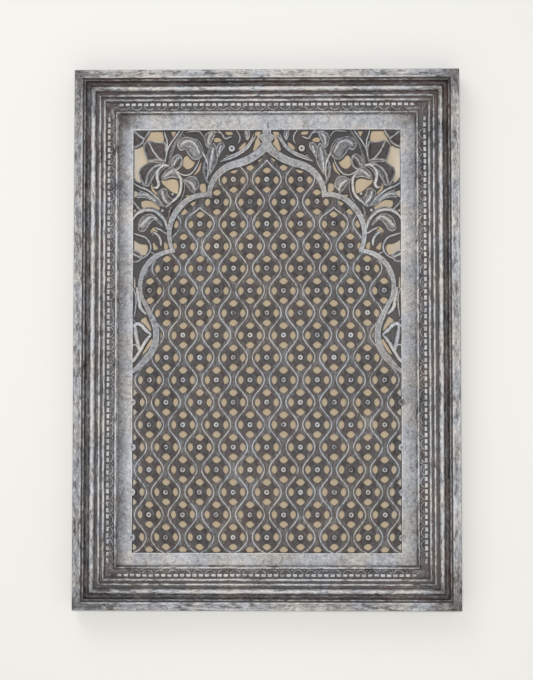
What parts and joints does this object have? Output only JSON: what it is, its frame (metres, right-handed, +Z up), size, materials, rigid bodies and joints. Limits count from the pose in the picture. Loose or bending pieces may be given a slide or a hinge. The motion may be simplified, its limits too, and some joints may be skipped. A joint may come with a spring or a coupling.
{
  "type": "pierced lattice wall panel",
  "caption": "Framed wooden wall panel: a pierced ogee lattice of ringed flowers under a many-lobed arch with leafy corners, in a stepped mitred moulding.",
  "frame": {"origin": "middle of the top rail's flat back, where the panel is fixed to the wall, 34 mm below the top edge", "axes": "+Z up the panel, +Y out of its back towards the wall, +X to the right as seen from the front"},
  "size_m": [0.6, 0.045, 0.84],
  "materials": {
    "frame_wood": "dark hardwood, grey wash rubbed back",
    "board_wood": "dark hardwood, grey wash on the high surfaces"
  },
  "bodies": {
    "root": {"top_rail": "frame_wood", "bottom_rail": "frame_wood", "left_rail": "frame_wood", "right_rail": "frame_wood", "carved_board": "board_wood"}
  },
  "joints": []
}
